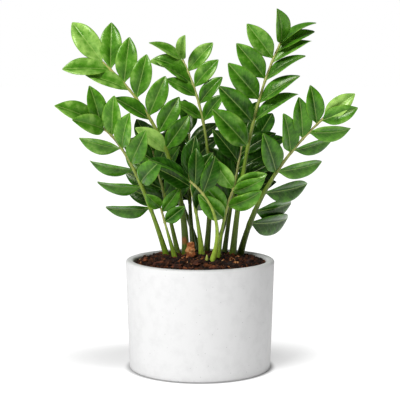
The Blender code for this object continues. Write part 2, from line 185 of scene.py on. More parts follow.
def startFromSolid(node, name):
    # a free copy of a solid, in quads, left in edit mode with everything selected
    item = copyOf(frame["nodes"][node])
    item.parent = None
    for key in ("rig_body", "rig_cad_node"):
        if key in item:
            del item[key]
    nameIt(item, name)
    startEdit(item, "SELECT")
    bpy.ops.mesh.remove_doubles(threshold=0.01 * mm)
    bpy.ops.mesh.tris_convert_to_quads()
    return item


def finishPiece(item, material, slot, *nodes):
    if material:
        item.data.materials.clear()
        item.data.materials.append(material)
    if nodes:
        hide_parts(*nodes)
    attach(item, "root")
    return item


# materials

def linear(hexColour):
    values = [int(hexColour[i:i + 2], 16) / 255 for i in (1, 3, 5)]
    values = [v / 12.92 if v <= 0.04045 else ((v + 0.055) / 1.055) ** 2.4 for v in values]
    return (*values, 1.0)


def addNode(tree, kind, values=None):
    # a name in small letters is the node's own option, and any other an input: a value or a socket
    node = tree.nodes.new("ShaderNode" + kind)
    for name, value in (values or {}).items():
        if name == "stops":
            ramp = node.color_ramp
            while len(ramp.elements) < len(value):
                ramp.elements.new(1.0)
            for element, (place, colour) in zip(ramp.elements, value):
                element.position = place
                element.color = linear(colour)
        elif isinstance(value, bpy.types.NodeSocket):
            tree.links.new(value, node.inputs[name])
        elif isinstance(name, str) and name.islower():
            setattr(node, name, value)
        else:
            node.inputs[name].default_value = value
    return node


def newMaterial(name, inputs):
    material = bpy.data.materials.new(name)
    material.use_nodes = True
    tree = material.node_tree
    shader = tree.nodes["Principled BSDF"]
    for key, value in inputs.items():
        shader.inputs[key].default_value = value
    return material, tree, shader


def linkLook(tree, shader, colour, height, bump):
    # colour and fine relief go into the shader; bump is its strength and its depth in metres
    strength, depth = bump
    relief = addNode(tree, "Bump", {"Height": height, "Strength": strength, "Distance": depth})
    tree.links.new(colour, shader.inputs["Base Color"])
    tree.links.new(relief.outputs["Normal"], shader.inputs["Normal"])


def concreteMaterial():
    # fine white cement, cast in a smooth mould: nearly matt, softly clouded, with a few pinholes that are
    # painted darker, painted shade in the pits
    look = dict(pale="#dadada", grey="#d4d4d4", pinhole="#969694", cloudMm=16, pinholeMm=9, grainMm=1.0,
                bump=(0.25, 0.0002))
    material, tree, shader = newMaterial("whiteCastConcrete", {"Roughness": 0.62, "IOR": 1.5})
    place = addNode(tree, "TexCoord").outputs["Object"]
    cloud = addNode(tree, "TexNoise", {
        "Vector": place, "Scale": 1000 / look["cloudMm"], "Detail": 5.0, "Roughness": 0.6})
    body = addNode(tree, "ValToRGB", {
        "stops": ((0.32, look["grey"]), (0.55, look["pale"])), "Fac": cloud.outputs["Fac"]})
    cell = addNode(tree, "TexVoronoi", {"Vector": place, "Scale": 1000 / look["pinholeMm"]})
    # painted shade: the pinholes are coloured darker, and the bump below sinks them
    hole = addNode(tree, "MapRange", {
        "Value": cell.outputs["Distance"], "From Min": 0.04, "From Max": 0.08, "To Min": 0.7,
        "To Max": 0.0})
    colour = addNode(tree, "Mix", {
        "data_type": "RGBA", 0: hole.outputs[0], 6: body.outputs["Color"], 7: linear(look["pinhole"])})
    grain = addNode(tree, "TexNoise", {"Vector": place, "Scale": 1000 / look["grainMm"], "Detail": 3.0})
    relief = addNode(tree, "Math", {
        "operation": "MULTIPLY_ADD", 0: hole.outputs[0], 1: -2.0, 2: grain.outputs["Fac"]})
    linkLook(tree, shader, colour.outputs[2], relief.outputs[0], look["bump"])
    return material


def soilMaterial():
    # damp peat mix, loose: dark, rough and broken up, with rusty fibre in it
    look = dict(stops=((0.25, "#130803"), (0.43, "#3a1c09"), (0.58, "#673612"), (0.8, "#9a642b")),
                patchMm=5, grainMm=1.4, bump=(0.9, 0.0012))
    material, tree, shader = newMaterial("pottingSoil", {"Roughness": 0.95, "IOR": 1.4})
    place = addNode(tree, "TexCoord").outputs["Object"]
    tone = addNode(tree, "Attribute", {"attribute_name": "tone"})
    patch = addNode(tree, "TexNoise", {
        "Vector": place, "Scale": 1000 / look["patchMm"], "Detail": 8.0, "Roughness": 0.75})
    mixed = addNode(tree, "Math", {
        "operation": "MULTIPLY_ADD", 0: tone.outputs["Fac"], 1: 0.5, 2: patch.outputs["Fac"]})
    lower = addNode(tree, "Math", {"operation": "SUBTRACT", 0: mixed.outputs[0], 1: 0.22})
    colour = addNode(tree, "ValToRGB", {"stops": look["stops"], "Fac": lower.outputs[0]})
    grain = addNode(tree, "TexNoise", {"Vector": place, "Scale": 1000 / look["grainMm"], "Detail": 4.0})
    linkLook(tree, shader, colour.outputs["Color"], grain.outputs["Fac"], look["bump"])
    return material


def barkMaterial():
    # split pine bark: dry flakes in layers, from nearly black to orange where it broke fresh
    look = dict(stops=((0.1, "#1d0d06"), (0.4, "#552814"), (0.7, "#a05a2b"), (1.0, "#e6b57a")),
                layerMm=2.5, patchMm=5, bump=(1.0, 0.0015))
    material, tree, shader = newMaterial("pineBark", {"Roughness": 0.85, "IOR": 1.45})
    place = addNode(tree, "TexCoord").outputs["Object"]
    tone = addNode(tree, "Attribute", {"attribute_name": "tone"})
    layer = addNode(tree, "TexWave", {
        "bands_direction": "Z", "Vector": place, "Scale": 50 / look["layerMm"],
        "Distortion": 9.0, "Detail": 3.0})
    patch = addNode(tree, "TexNoise", {
        "Vector": place, "Scale": 1000 / look["patchMm"], "Detail": 6.0, "Roughness": 0.7})
    streak = addNode(tree, "Math", {"operation": "MULTIPLY", 0: layer.outputs["Fac"], 1: 0.25})
    both = addNode(tree, "Math", {
        "operation": "MULTIPLY_ADD", 0: patch.outputs["Fac"], 1: 1.25, 2: streak.outputs[0]})
    shifted = addNode(tree, "Math", {"operation": "ADD", 0: both.outputs[0], 1: tone.outputs["Fac"]})
    lower = addNode(tree, "Math", {"operation": "SUBTRACT", 0: shifted.outputs[0], 1: 0.75})
    colour = addNode(tree, "ValToRGB", {"stops": look["stops"], "Fac": lower.outputs[0]})
    linkLook(tree, shader, colour.outputs["Color"], both.outputs[0], look["bump"])
    return material


def tuberMaterial():
    # rhizome skin, grown: dry and brown like a potato's, with fine cracks
    look = dict(stops=((0.3, "#5e432a"), (0.7, "#96754c")), patchMm=8, bump=(0.5, 0.0006))
    material, tree, shader = newMaterial("rhizomeSkin", {"Roughness": 0.8, "IOR": 1.45})
    place = addNode(tree, "TexCoord").outputs["Object"]
    patch = addNode(tree, "TexNoise", {"Vector": place, "Scale": 1000 / look["patchMm"], "Detail": 6.0})
    colour = addNode(tree, "ValToRGB", {"stops": look["stops"], "Fac": patch.outputs["Fac"]})
    linkLook(tree, shader, colour.outputs["Color"], patch.outputs["Fac"], look["bump"])
    return material


def stalkMaterial(name, stops):
    # living stem, smooth and fleshy: a soft shine, faint lengthwise streaks and small dark flecks
    look = dict(tan="#bfae76", fleck="#39431a", scar="#ad6a38", streakMm=2.2, streak=0.6, fleckMm=3.5,
                bump=(0.2, 0.0004))
    material, tree, shader = newMaterial(name, {"Roughness": 0.4, "IOR": 1.42})
    place = addNode(tree, "TexCoord").outputs["Object"]
    stretched = addNode(tree, "Mapping", {"Vector": place, "Scale": (1.0, 1.0, 0.12)})
    tone = addNode(tree, "Attribute", {"attribute_name": "tone"})
    streak = addNode(tree, "TexNoise", {
        "Vector": stretched.outputs["Vector"], "Scale": 1000 / look["streakMm"], "Detail": 3.0})
    shade = addNode(tree, "Math", {
        "operation": "MULTIPLY_ADD", 0: streak.outputs["Fac"], 1: look["streak"],
        2: tone.outputs["Fac"]})
    lower = addNode(tree, "Math", {"operation": "SUBTRACT", 0: shade.outputs[0], 1: 0.33})
    body = addNode(tree, "ValToRGB", {"stops": stops, "Fac": lower.outputs[0]})
    tan = addNode(tree, "Attribute", {"attribute_name": "tan"})
    browned = addNode(tree, "Mix", {
        "data_type": "RGBA", 0: tan.outputs["Fac"], 6: body.outputs["Color"], 7: linear(look["tan"])})
    cell = addNode(tree, "TexVoronoi", {
        "Vector": stretched.outputs["Vector"], "Scale": 1000 / look["fleckMm"]})
    fleck = addNode(tree, "MapRange", {
        "Value": cell.outputs["Distance"], "From Min": 0.08, "From Max": 0.26, "To Min": 0.6,
        "To Max": 0.0})
    flecked = addNode(tree, "Mix", {
        "data_type": "RGBA", 0: fleck.outputs[0], 6: browned.outputs[2], 7: linear(look["fleck"])})
    scar = addNode(tree, "Attribute", {"attribute_name": "scar"})
    scarred = addNode(tree, "Mix", {
        "data_type": "RGBA", 0: scar.outputs["Fac"], 6: flecked.outputs[2], 7: linear(look["scar"])})
    linkLook(tree, shader, scarred.outputs[2], streak.outputs["Fac"], look["bump"])
    return material


def leafMaterial(name, stops, vein, roughness, coat):
    # living leaf under a wax skin: deep green, a clear soft shine, a paler midrib and faint side veins
    look = dict(rib=0.42, ribHalf=0.004, ribEdge=0.012, vein=0.045, veins=9, veinSlope=1.0, groove=-0.3,
                rimPale=0.3, clotMm=13, clot=0.85, swellMm=7, bump=(0.7, 0.0014))
    material, tree, shader = newMaterial(name, {
        "Roughness": roughness, "IOR": 1.45, "Specular IOR Level": 0.34,
        "Specular Tint": linear("#cfe596"), "Coat Weight": coat, "Coat Roughness": 0.18})
    place = addNode(tree, "TexCoord").outputs["Object"]
    chart = addNode(tree, "UVMap", {"uv_map": "UVMap"})
    part = addNode(tree, "SeparateXYZ", {"Vector": chart.outputs["UV"]})
    offset = addNode(tree, "Math", {"operation": "SUBTRACT", 0: part.outputs["Y"], 1: 0.5})
    away = addNode(tree, "Math", {"operation": "ABSOLUTE", 0: offset.outputs[0]})
    tone = addNode(tree, "Attribute", {"attribute_name": "tone"})
    clot = addNode(tree, "TexNoise", {
        "Vector": place, "Scale": 1000 / look["clotMm"], "Detail": 5.0, "Roughness": 0.55})
    shade = addNode(tree, "Math", {
        "operation": "MULTIPLY_ADD", 0: clot.outputs["Fac"], 1: look["clot"], 2: tone.outputs["Fac"]})
    # painted shade: darker near the midrib, where the leaflet folds, and paler out towards the margin, which
    # is a thin light line
    margin = addNode(tree, "Attribute", {"attribute_name": "margin"})
    rise = addNode(tree, "MapRange", {
        "Value": margin.outputs["Fac"], "From Min": 0.1, "From Max": 0.9, "To Min": 0.08,
        "To Max": -0.1})
    rim = addNode(tree, "MapRange", {
        "Value": margin.outputs["Fac"], "From Min": 0.93, "From Max": 1.0, "To Min": 0.0,
        "To Max": look["rimPale"]})
    pale = addNode(tree, "Math", {"operation": "SUBTRACT", 0: rim.outputs[0], 1: rise.outputs[0]})
    toneWithFoldShade = addNode(tree, "Math", {"operation": "ADD", 0: shade.outputs[0], 1: pale.outputs[0]})
    lower = addNode(tree, "Math", {"operation": "SUBTRACT", 0: toneWithFoldShade.outputs[0], 1: look["clot"] / 2})
    body = addNode(tree, "ValToRGB", {"stops": stops, "Fac": lower.outputs[0]})
    rib = addNode(tree, "MapRange", {
        "Value": away.outputs[0], "From Min": look["ribHalf"], "From Max": look["ribEdge"],
        "To Min": look["rib"], "To Max": 0.0})
    # the side veins leave the midrib at a slant and fade towards the margin
    slant = addNode(tree, "Math", {
        "operation": "MULTIPLY_ADD", 0: away.outputs[0], 1: -look["veinSlope"], 2: part.outputs["X"]})
    phase = addNode(tree, "Math", {
        "operation": "MULTIPLY", 0: slant.outputs[0], 1: 2 * math.pi * look["veins"]})
    wave = addNode(tree, "Math", {"operation": "SINE", 0: phase.outputs[0]})
    line = addNode(tree, "MapRange", {
        "Value": wave.outputs[0], "From Min": 0.5, "From Max": 1.0, "To Min": 0.0,
        "To Max": look["vein"]})
    marks = addNode(tree, "Math", {"operation": "MAXIMUM", 0: rib.outputs[0], 1: line.outputs[0]})
    colour = addNode(tree, "Mix", {
        "data_type": "RGBA", 0: marks.outputs[0], 6: body.outputs["Color"], 7: linear(vein)})
    # the skin swells a little between the veins, and the midrib lies in a groove
    swell = addNode(tree, "TexNoise", {"Vector": place, "Scale": 1000 / look["swellMm"], "Detail": 2.0})
    relief = addNode(tree, "Math", {
        "operation": "MULTIPLY_ADD", 0: marks.outputs[0], 1: look["groove"], 2: swell.outputs["Fac"]})
    linkLook(tree, shader, colour.outputs[2], relief.outputs[0], look["bump"])
    return material


materials = dict(
    concrete=concreteMaterial(),
    soil=soilMaterial(),
    bark=barkMaterial(),
    tuber=tuberMaterial(),
    stalk=stalkMaterial("zzStalk", (
        (0.0, "#1a2802"), (0.35, "#41540b"), (0.7, "#718e22"), (1.0, "#a9c646"))),
    leaf=leafMaterial("waxyLeafTop", (
        (0.0, "#051c00"), (0.35, "#1c4c04"), (0.65, "#4a841a"), (1.0, "#a0c962")), "#a6c068", 0.3, 0.26),
    # the underside: its own paler green, made brighter still as painted light that stands in for light
    # shining through the leaf
    leafUnder=leafMaterial("leafUnderside", (
        (0.0, "#17380a"), (0.5, "#3f6e18"), (1.0, "#80b034")), "#a6c064", 0.46, 0.0),
)
print("materials made:", len(materials))


# camera, floor and light

view = dict(place=(0.0, -1.787, 0.437), pitch=83.98, lens=109.95, sensor=36)
deselectAll()
bpy.ops.object.camera_add(location=view["place"], rotation=(math.radians(view["pitch"]), 0, 0))
camera = nameIt(bpy.context.object, "studioCamera")
camera.data.lens = view["lens"]
camera.data.sensor_width = view["sensor"]
scene.camera = camera
scene.view_settings.view_transform = "Standard"

studio = dict(
    sky="#ffffff", skyLeft=0.38, skyRight=0.02, floorSize=60, floorDrop=0.0002, floorColour="#a4a4a4",
    # painted shadow on the floor: it glows less in a soft patch round and behind the pot, and evenly white
    # further off
    glowNear=0.47, glowFar=1.0, glowFrom=0.09, glowTo=0.29, glowMiddle=(0.03, -0.1), glowSquash=1.7,
    # painted shadow: a thin dark line on the floor at the pot's foot
    contactFrom=0.1025, contactTo=0.114, contactGlow=0.1,
    key=dict(place=(-1.2, -1.8, 2.4), size=1.1, power=84),
)
world = bpy.data.worlds.new("paleStudio")
world.use_nodes = True
sky = world.node_tree.nodes["Background"]
sky.inputs["Color"].default_value = linear(studio["sky"])
# the room is white to look at, and lights the plant gently, more from the left than from the right
direction = addNode(world.node_tree, "TexCoord").outputs["Generated"]
across = addNode(world.node_tree, "SeparateXYZ", {"Vector": direction}).outputs["X"]
soft = addNode(world.node_tree, "MapRange", {
    "Value": across, "From Min": -1.0, "To Min": studio["skyLeft"], "To Max": studio["skyRight"]})
ray = addNode(world.node_tree, "LightPath").outputs["Is Camera Ray"]
strength = addNode(world.node_tree, "Mix", {0: ray, 2: soft.outputs[0], 3: 1.0})
world.node_tree.links.new(strength.outputs[0], sky.inputs["Strength"])
scene.world = world
lamp = studio["key"]
aim = Vector((0, 0, 0.28)) - Vector(lamp["place"])
turn = aim.to_track_quat("-Z", "Y").to_euler()
bpy.ops.object.light_add(type="AREA", location=lamp["place"], rotation=turn)
light = nameIt(bpy.context.object, "keySoftbox")
light.data.size = lamp["size"]
light.data.energy = lamp["power"]
deselectAll()
bpy.ops.mesh.primitive_plane_add(size=studio["floorSize"], location=(0, 0, -studio["floorDrop"]))
floor = nameIt(bpy.context.object, "studioFloor")
floorPaint, floorTree, floorShader = newMaterial("paleFloor", {
    "Base Color": linear(studio["floorColour"]), "Roughness": 0.9, "Specular IOR Level": 0.1,
    "Emission Color": linear(studio["sky"])})
# the floor's glow holds a painted shadow: weaker in a soft patch round and behind the pot
spot = addNode(floorTree, "TexCoord").outputs["Object"]
paintedShadowMapping = addNode(floorTree, "Mapping", {
    "Vector": spot, "Location": (*studio["glowMiddle"], 0.0), "Scale": (1.0, studio["glowSquash"], 1.0)})
paintedShadowDistance = addNode(floorTree, "VectorMath", {"operation": "LENGTH", 0: paintedShadowMapping.outputs["Vector"]})
paintedShadowGlow = addNode(floorTree, "MapRange", {
    "interpolation_type": "SMOOTHSTEP", "Value": paintedShadowDistance.outputs["Value"],
    "From Min": studio["glowFrom"], "From Max": studio["glowTo"], "To Min": studio["glowNear"],
    "To Max": studio["glowFar"]})
# painted shadow: a dark line where the pot meets the floor, which glows less there
reach = addNode(floorTree, "VectorMath", {"operation": "LENGTH", 0: spot})
paintedContactShadow = addNode(floorTree, "MapRange", {
    "interpolation_type": "SMOOTHSTEP", "Value": reach.outputs["Value"],
    "From Min": studio["contactFrom"], "From Max": studio["contactTo"],
    "To Min": studio["contactGlow"], "To Max": 1.0})
# the two painted shadows together set how brightly the floor glows
both = addNode(floorTree, "Math", {"operation": "MULTIPLY", 0: paintedShadowGlow.outputs[0], 1: paintedContactShadow.outputs[0]})
floorTree.links.new(both.outputs[0], floorShader.inputs["Emission Strength"])
floor.data.materials.append(floorPaint)
print("studio ready")


# pot

pot = dict(rimRadius=110, baseRadius=104.5, height=161, wall=12, floor=14, rimRound=4, baseRound=2.5,
           rimSteps=6, baseSteps=4, sides=128, gap=0.3)


def innerRadius(height):
    low = pot["baseRadius"] - pot["wall"]
    high = pot["rimRadius"] - pot["wall"]
    return low + (high - low) * height / pot["height"]


def makePot():
    deselectAll()
    bpy.ops.mesh.primitive_circle_add(
        vertices=pot["sides"], radius=pot["baseRadius"] * mm, fill_type="NGON", location=(0, 0, 0))
    item = nameIt(bpy.context.object, "potShell")
    startEdit(item, "SELECT")
    bpy.ops.mesh.extrude_region_move(TRANSFORM_OT_translate={"value": (0, 0, pot["height"] * mm)})
    grow = pot["rimRadius"] / pot["baseRadius"]
    bpy.ops.transform.resize(value=(grow, grow, 1))
    bpy.ops.mesh.inset(thickness=pot["wall"] * mm)
    bpy.ops.mesh.extrude_region_move(
        TRANSFORM_OT_translate={"value": (0, 0, (pot["floor"] - pot["height"]) * mm)})
    shrink = innerRadius(pot["floor"]) / innerRadius(pot["height"])
    bpy.ops.transform.resize(value=(shrink, shrink, 1))
    # soft edges, as a cast pot has: both rims, and a smaller one at the foot
    top = (pot["height"] - 0.01) * mm
    pick(item, "EDGE", lambda co: co.z > top)
    ringOnly(item)
    bpy.ops.mesh.bevel(offset=pot["rimRound"] * mm, segments=pot["rimSteps"], affect="EDGES")
    pick(item, "EDGE", lambda co: co.z < 0.01 * mm)
    bpy.ops.mesh.bevel(offset=pot["baseRound"] * mm, segments=pot["baseSteps"], affect="EDGES")
    bpy.ops.mesh.select_all(action="SELECT")
    bpy.ops.mesh.normals_make_consistent(inside=False)
    endEdit()
    bpy.ops.object.shade_smooth_by_angle(angle=math.radians(40))
    return finishPiece(item, materials["concrete"], "pot", "pot")


def ringOnly(item):
    # keep the edges that run round the rim, and drop those that cross it
    shape = bmesh.from_edit_mesh(item.data)
    for edge in shape.edges:
        if edge.select:
            first, second = (vert.co.xy.length for vert in edge.verts)
            edge.select_set(abs(first - second) < 0.1 * mm)
    bmesh.update_edit_mesh(item.data)


makePot()
print("pot done")


# soil heap; the crumbs and bark come further on

soil = dict(drop=6, heap=11, crownDrop=8, rings=34, sides=144,
            lumps=((14, 1.6), (6.5, 1.6), (3.2, 0.9)), sunk=0.6, rimFade=5)
soilRadius = (innerRadius(pot["height"] - soil["drop"]) - pot["gap"]) * mm


def soilHeight(x, y):
    share = min(math.hypot(x, y) / soilRadius, 1.0)
    return (pot["height"] - soil["drop"] + soil["heap"] * math.cos(share * math.pi / 2)) * mm


def lumpySoil(x, y):
    height = 0.0
    for size, amount in soil["lumps"]:
        height += amount * noise.noise(Vector((x, y, size * mm)) / (size * mm))
    fade = min((soilRadius - math.hypot(x, y)) / (soil["rimFade"] * mm), 1.0)
    return soilHeight(x, y) + (height - soil["sunk"]) * mm * max(fade, 0.0)


def makeSoil():
    deselectAll()
    edge = (pot["height"] - soil["drop"]) * mm
    bpy.ops.mesh.primitive_circle_add(
        vertices=soil["sides"], radius=soilRadius, fill_type="NGON", location=(0, 0, edge))
    item = nameIt(bpy.context.object, "soilHeap")
    settleTransform(item)
    startEdit(item, "SELECT")
    for ring in range(soil["rings"] - 1):
        bpy.ops.mesh.inset(thickness=soilRadius / soil["rings"])
    bpy.ops.mesh.poke()
    # down the pot's wall to its floor, and closed there
    pick(item, "EDGE", lambda co: co.xy.length > soilRadius - 0.05 * mm)
    low = (pot["floor"] + pot["gap"]) * mm
    bpy.ops.mesh.extrude_region_move(TRANSFORM_OT_translate={"value": (0, 0, low - edge)})
    shrink = (innerRadius(pot["floor"]) - pot["gap"]) * mm / soilRadius
    bpy.ops.transform.resize(value=(shrink, shrink, 1))
    bpy.ops.mesh.edge_face_add()
    endEdit()
    points = pointsOf(item)
    for point in points:
        if point[2] > edge - mm:
            point[2] = lumpySoil(point[0], point[1])
    setPoints(item, points)
    startEdit(item, "SELECT")
    bpy.ops.mesh.normals_make_consistent(inside=False)
    endEdit()
    bpy.ops.object.shade_smooth_by_angle(angle=math.radians(50))
    setValue(item, "tone", 0.0)
    return finishPiece(item, materials["soil"], "soil", "soil")


makeSoil()


# fronds: a foot on the soil, the curve through knee and tip, and the leaflets along it

# the leaflets' tone runs from the lowest leaflet to the tip; the inner and back fronds are darker, painted
# shade deep in the plant
fronds = [
    dict(name="upper_left", foot=(-0.22, 0.16), knee=(-1, 2, 178), tip=(-123, 22, 285), thick=5.6,
         face=-9, vee=14, left=(0.48, 0.65, 0.82, 0.95), right=(0.50, 0.58, 0.67, 0.77, 0.86, 0.95),
         splay=((29, 35), (60, 45)), twist=(-21, 2), length=(60, 72),
         end=(1, 10, 76, 0, 0), leafTone=(0.48, 0.72), stalkTone=(0.45, 0.85),
         oddLeaf={(-1, 0.48): 0.92}),
    dict(name="low_left", foot=(-0.51, 0.18), knee=(-49, -30, 170), tip=(-94, -50, 196), thick=4.4,
         face=-38, vee=15, left=(0.35, 0.50, 0.63, 0.79, 0.96), right=(0.53, 0.67, 0.79, 0.90, 0.99),
         splay=((76, 28), (72, 33)), twist=(30, -6), length=(68, 61),
         end=(-1, 3, 74, 0, 0), leafTone=(0.40, 0.66), stalkTone=(0.66, 0.75)),
    dict(name="upper_right", foot=(0.50, 0.22), knee=(20, 6, 217), tip=(72, 40, 316), thick=5.0,
         face=11, vee=25, left=(0.50, 0.61, 0.72, 0.82, 0.92), right=(0.62, 0.70, 0.81, 0.90, 0.955, 0.99),
         splay=((59, 68), (49, 36)), twist=(7, -34), length=(82, 63),
         end=(-1, 58, 64, 40, 0), leafTone=(0.49, 0.64), stalkTone=(0.50, 0.85)),
    dict(name="centre", foot=(0.10, 0.59), knee=(20, 4, 182), tip=(-37, 54, 293), thick=4.6,
         face=-3, vee=27, left=(0.67, 0.79, 0.86, 0.92, 0.96, 0.99), right=(0.66, 0.75, 0.84, 0.93),
         splay=((55, 44), (52, 74)), twist=(-13, -4), length=(52, 60),
         end=(1, 62, 50, 48, 0), leafTone=(0.46, 0.68), stalkTone=(0.45, 0.85),
         oddLeaf={(1, 1.0): 0.82}),
    dict(name="low_right", foot=(0.62, 0.43), knee=(26, -30, 122), tip=(118, -60, 210), thick=5.2,
         face=48, vee=0, left=(0.57, 0.72, 0.83, 0.95), right=(0.22, 0.30, 0.43, 0.58, 0.74, 0.88, 0.98),
         splay=((57, 42), (87, 22)), twist=(-13, 8), length=(88, 56),
         end=(1, 2, 57, 0, 0), leafTone=(0.36, 0.60), stalkTone=(0.32, 0.75),
         oddLeaf={(1, 1.0): 0.86}),
    dict(name="front_young", foot=(0.28, -0.12), knee=(5, -10, 65), tip=(22, -24, 106), thick=3.6,
         face=18, vee=8, left=(0.54, 0.67, 0.97), right=(0.72, 0.92),
         splay=((56, 52), (52, 41)), twist=(-5, 27), length=(62, 56),
         end=(1, 40, 52, 0, 0), leafTone=(0.60, 0.72), stalkTone=(0.70, 0.85),
         slot="young_leaf"),
    dict(name="front_left", foot=(0.19, -0.33), knee=(22, -16, 72), tip=(-33, -30, 118), thick=4.2,
         face=-15, vee=8, left=(), right=(0.80, 0.93),
         splay=((62, 50), (58, 45)), length=(56, 50),
         end=(-1, 10, 68, 0, -40), leafTone=(0.22, 0.30), stalkTone=(0.98, 0.7),
         slot="young_leaf"),
    dict(name="small_left", foot=(-0.38, -0.06), knee=(-14, -6, 50), tip=(-20, -8, 74), thick=4.0,
         face=-20, vee=18, left=(), right=(0.72, 0.92),
         splay=((70, 50), (66, 45)), twist=(10, 0), length=(44, 44),
         end=(-1, 30, 42, 35, 0), leafTone=(0.48, 0.56), stalkTone=(0.70, 0.8),
         slot="young_leaf"),
    dict(name="inner_left", foot=(0.03, 0.04), knee=(-6, -8, 62), tip=(-20, -6, 118), thick=4.6,
         face=0, vee=20, left=(0.86,), right=(0.56, 0.70, 0.85),
         splay=((60, 44), (46, 36)), length=(62, 62),
         end=(1, 24, 60, 0, 0), leafTone=(0.20, 0.34), stalkTone=(0.90, 0.8)),
    dict(name="outer_left", foot=(-0.34, 0.45), knee=(-18, 14, 80), tip=(-40, 48, 152), thick=4.0,
         face=-25, vee=16, left=(0.48, 0.62, 0.76, 0.90), right=(0.44, 0.56, 0.70, 0.84),
         splay=((54, 38), (60, 44)), twist=(12, 0), length=(66, 60),
         end=(-1, 8, 60, 0, 0), leafTone=(0.24, 0.38), stalkTone=(0.50, 0.7)),
    dict(name="inner_right", foot=(0.38, 0.59), knee=(12, 8, 94), tip=(30, 38, 175), thick=4.2,
         face=5, vee=16, left=(0.42, 0.53, 0.65, 0.78, 0.91), right=(0.47, 0.60, 0.72, 0.85),
         splay=((62, 46), (58, 46)), twist=(0, -8), length=(68, 62),
         end=(1, 8, 62, 0, 0), leafTone=(0.16, 0.32), stalkTone=(0.40, 0.7)),
    dict(name="back_centre", foot=(-0.10, 0.59), knee=(-9, 27, 79), tip=(-7, 82, 177), thick=4.4,
         face=-8, vee=16, left=(0.43, 0.54, 0.66, 0.78, 0.91), right=(0.48, 0.60, 0.72, 0.85),
         splay=((62, 46), (62, 46)), length=(68, 62),
         end=(-1, 6, 62, 0, 0), leafTone=(0.12, 0.30), stalkTone=(0.30, 0.6)),
    dict(name="back_left", foot=(0.00, 0.80), knee=(-29, 42, 84), tip=(-68, 87, 154), thick=4.2,
         face=-20, vee=16, left=(0.44, 0.56, 0.69, 0.81, 0.94), right=(0.50, 0.63, 0.75, 0.88),
         splay=((54, 40), (60, 44)), length=(68, 60),
         end=(-1, 6, 60, 0, 0), leafTone=(0.15, 0.36), stalkTone=(0.35, 0.6)),
    dict(name="back_right", foot=(0.24, 0.76), knee=(32, 46, 99), tip=(66, 86, 166), thick=4.2,
         face=12, vee=16, left=(0.44, 0.56, 0.69, 0.81, 0.94), right=(0.50, 0.63, 0.75, 0.88),
         splay=((60, 44), (54, 40)), length=(70, 60),
         end=(1, 6, 60, 0, 0), leafTone=(0.15, 0.36), stalkTone=(0.35, 0.6)),
]

stalk = dict(taper=1.6, twig=1.2, bareBelow=0.03, sides=8, rings=6, rachisSides=6, rachisRings=9,
             step=0.012, swell=0.16, swellReach=0.05, knot=0.5, knotReach=0.008, stout=0.45,
             bareRows=30, fewestRows=12, tanFrom=0.45, tanRise=1.2, tanMost=0.5)
# an old scar low on the front of one stalk, placed by the share of the frond's length
scarMark = dict(frond="upper_left", place=0.07, spread=0.013, facing=(-0.35, -0.94, 0.0), most=0.95)
blade = dict(width=0.48, thick=1.6, fold=0.22, arch=0.04, neck=2.0, clearance=0.8, rise=35,
             turnStep=6, turnMost=48, shorter=(1.0, 0.85, 0.7, 0.55),
             stations=((0.0, 0.0), (0.06, 0.1), (0.22, 0.8), (0.48, 1.0), (0.78, 0.7)))


class FrondLine:
    # a frond's middle line, read by the share of its length
    steps = 64

    def __init__(self, frond):
        x, y = (share * soilRadius for share in frond["foot"])
        self.foot = Vector((x, y, soilHeight(x, y)))
        self.knee = self.foot + Vector(frond["knee"]) * mm
        self.tip = self.foot + Vector(frond["tip"]) * mm
        self.thick = frond["thick"] * mm
        places = [self.bezier(i / self.steps) for i in range(self.steps + 1)]
        self.lengths = [0.0]
        for low, high in zip(places, places[1:]):
            self.lengths.append(self.lengths[-1] + (high - low).length)

    def bezier(self, t):
        return self.foot * (1 - t) ** 2 + self.knee * 2 * t * (1 - t) + self.tip * t**2

    def parameter(self, share):
        wanted = share * self.lengths[-1]
        for i, (low, high) in enumerate(zip(self.lengths, self.lengths[1:])):
            if wanted <= high:
                return (i + (wanted - low) / (high - low)) / self.steps
        return 1.0

    def point(self, share):
        return self.bezier(self.parameter(share))

    def tangent(self, share):
        t = self.parameter(share)
        return ((self.knee - self.foot) * (1 - t) + (self.tip - self.knee) * t).normalized()

    def radius(self, share):
        twig = stalk["twig"] * mm
        return twig + (self.thick - twig) * (1 - share) ** stalk["taper"]

    def ring(self, share, sides, slide=0.0):
        along = self.tangent(share)
        across = along.cross(Vector((0, 1, 0))).normalized()
        beside = across.cross(along)
        middle = self.point(share) + along * slide
        angles = [2 * math.pi * i / sides for i in range(sides)]
        return [middle + (across * math.cos(a) + beside * math.sin(a)) * self.radius(share) for a in angles]


def leafyFrom(frond):
    return min(frond["left"] + frond["right"]) - stalk["bareBelow"]


def stemShapes(frond, line):
    # the plain tubes of a bare stalk and of its leafy part, for keeping leaflets clear of them
    top = leafyFrom(frond)
    crown = (pot["height"] - soil["crownDrop"] + pot["gap"]) * mm
    bare = [[Vector((p.x, p.y, crown)) for p in line.ring(0.0, stalk["sides"])]]
    bare += [line.ring(top * i / (stalk["rings"] - 1), stalk["sides"]) for i in range(stalk["rings"])]
    leafy = [line.ring(top, stalk["rachisSides"], pot["gap"] * mm)]
    for i in range(1, stalk["rachisRings"]):
        leafy.append(line.ring(top + (1 - top) * i / (stalk["rachisRings"] - 1), stalk["rachisSides"]))
    return tubeShape(bare), tubeShape(leafy)


def wallFaces(rows, count):
    # the quads that join each ring of corners to the next
    faces = []
    for low in range(0, (rows - 1) * count, count):
        for i in range(count):
            j = (i + 1) % count
            faces.append((low + i, low + j, low + count + j, low + count + i))
    return faces


def tubeShape(rings):
    return [point for ring in rings for point in ring], wallFaces(len(rings), len(rings[0]))


